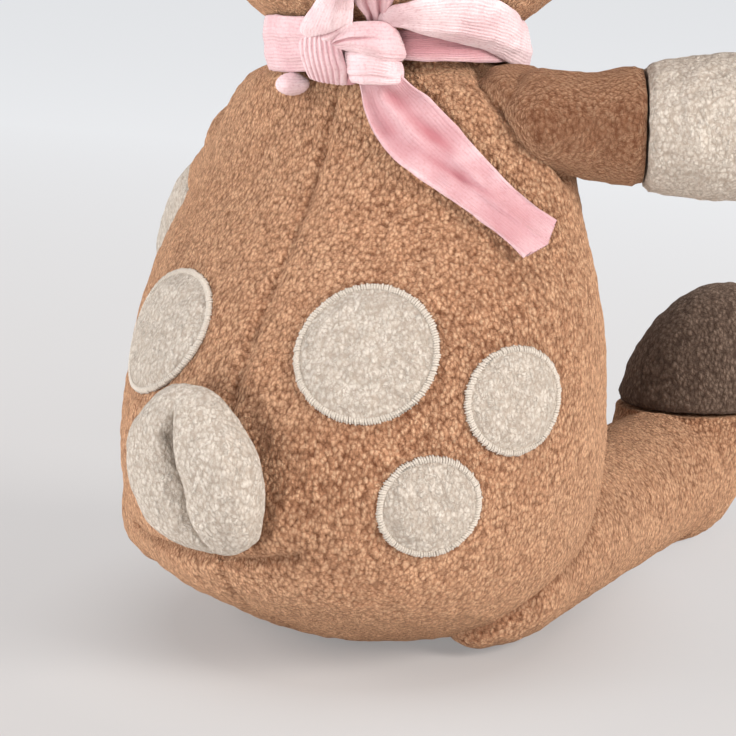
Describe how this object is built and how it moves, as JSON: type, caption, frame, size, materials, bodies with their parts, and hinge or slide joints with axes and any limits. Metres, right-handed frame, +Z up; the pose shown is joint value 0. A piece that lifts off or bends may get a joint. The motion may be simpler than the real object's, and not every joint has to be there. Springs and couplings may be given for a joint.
{
  "type": "plush deer",
  "caption": "Seated stuffed deer with a pear-shaped body, round head, stretched-out legs, spotted back, upright tail and a ribbon tied at the neck.",
  "frame": {"origin": "middle of the flat seat that the body rests on", "axes": "+Z up, the deer faces -Y, its left side is +X"},
  "size_m": [0.2303, 0.2461, 0.2941],
  "materials": {
    "fleece": "fawn curly terry fleece, matt",
    "cream": "cream nubby fleece, matt",
    "hoof": "dark taupe brushed fleece, matt",
    "ribbon": "pink ribbed cotton jersey, matt",
    "thread": "dark brown satin-stitched thread, soft sheen",
    "stuffing": "white polyester fibre filling"
  },
  "bodies": {
    "torso": {"torso_back_right": "fleece", "torso_back_left": "fleece", "torso_front": "fleece", "torso_stuffing": "stuffing", "spot_large": "cream", "spot_upper": "cream", "spot_lower": "cream", "spot_left": "cream", "ribbon_band": "ribbon", "ribbon_knot": "ribbon", "ribbon_loop": "ribbon", "ribbon_short_end": "ribbon"},
    "neck": {"neck_stuffing": "stuffing"},
    "head": {"head_right": "fleece", "head_left": "fleece", "head_stuffing": "stuffing", "muzzle": "cream", "nose": "thread", "eye_right": "thread", "eye_left": "thread"},
    "ear_right": {"ear_right": "fleece", "ear_lining_right": "cream"},
    "ear_left": {"ear_left": "fleece", "ear_lining_left": "cream"},
    "arm_right": {"arm_right": "fleece", "front_hoof_right": "cream", "arm_stuffing_right": "stuffing"},
    "arm_left": {"arm_left": "fleece", "front_hoof_left": "cream", "arm_stuffing_left": "stuffing"},
    "leg_right": {"leg_right": "fleece", "rear_hoof_right": "hoof", "leg_stuffing_right": "stuffing"},
    "leg_left": {"leg_left": "fleece", "rear_hoof_left": "hoof", "leg_stuffing_left": "stuffing"},
    "tail": {"tail": "cream"},
    "ribbon_tail": {"ribbon_long_tail": "ribbon"}
  },
  "joints": [
    {"name": "head_turn", "type": "hinge", "parent": "torso", "child": "neck", "pos_m": [0, -0.017, 0.2245], "axis": [0, 0, 1], "range_deg": [-60, 60], "stiffness_Nm_per_rad": 0.08},
    {"name": "head_nod", "type": "hinge", "parent": "neck", "child": "head", "pos_m": [0, -0.017, 0.2245], "axis": [1, 0, 0], "range_deg": [-12, 12], "stiffness_Nm_per_rad": 0.4},
    {"name": "ear_fold_right", "type": "hinge", "parent": "head", "child": "ear_right", "pos_m": [-0.05374, -0.017, 0.26557], "axis": [0.4067, 0, 0.9135], "range_deg": [-20, 20], "stiffness_Nm_per_rad": 0.02},
    {"name": "ear_fold_left", "type": "hinge", "parent": "head", "child": "ear_left", "pos_m": [0.05374, -0.017, 0.26557], "axis": [0.4067, 0, -0.9135], "range_deg": [-20, 20], "stiffness_Nm_per_rad": 0.02},
    {"name": "arm_swing_right", "type": "hinge", "parent": "torso", "child": "arm_right", "pos_m": [-0.049, -0.013, 0.146], "axis": [-0.5299, 0.848, 0], "range_deg": [-35, 25], "stiffness_Nm_per_rad": 0.25},
    {"name": "arm_swing_left", "type": "hinge", "parent": "torso", "child": "arm_left", "pos_m": [0.047, -0.013, 0.134], "axis": [-0.6157, -0.788, 0], "range_deg": [0, 45], "stiffness_Nm_per_rad": 0.25},
    {"name": "leg_swing_right", "type": "hinge", "parent": "torso", "child": "leg_right", "pos_m": [-0.04, -0.01, 0.0215], "axis": [-1, 0, 0], "range_deg": [-30, 8], "stiffness_Nm_per_rad": 0.5},
    {"name": "leg_swing_left", "type": "hinge", "parent": "torso", "child": "leg_left", "pos_m": [0.04, -0.01, 0.0215], "axis": [-1, 0, 0], "range_deg": [-30, 8], "stiffness_Nm_per_rad": 0.5},
    {"name": "tail_lift", "type": "hinge", "parent": "torso", "child": "tail", "pos_m": [-0.0025, 0.07, 0.034], "axis": [-1, 0, 0], "range_deg": [0, 60], "stiffness_Nm_per_rad": 0.02},
    {"name": "ribbon_lift", "type": "hinge", "parent": "torso", "child": "ribbon_tail", "pos_m": [-0.0145, 0.0188, 0.1605], "axis": [0.74, 0.4069, -0.5355], "range_deg": [0, 40]}
  ]
}
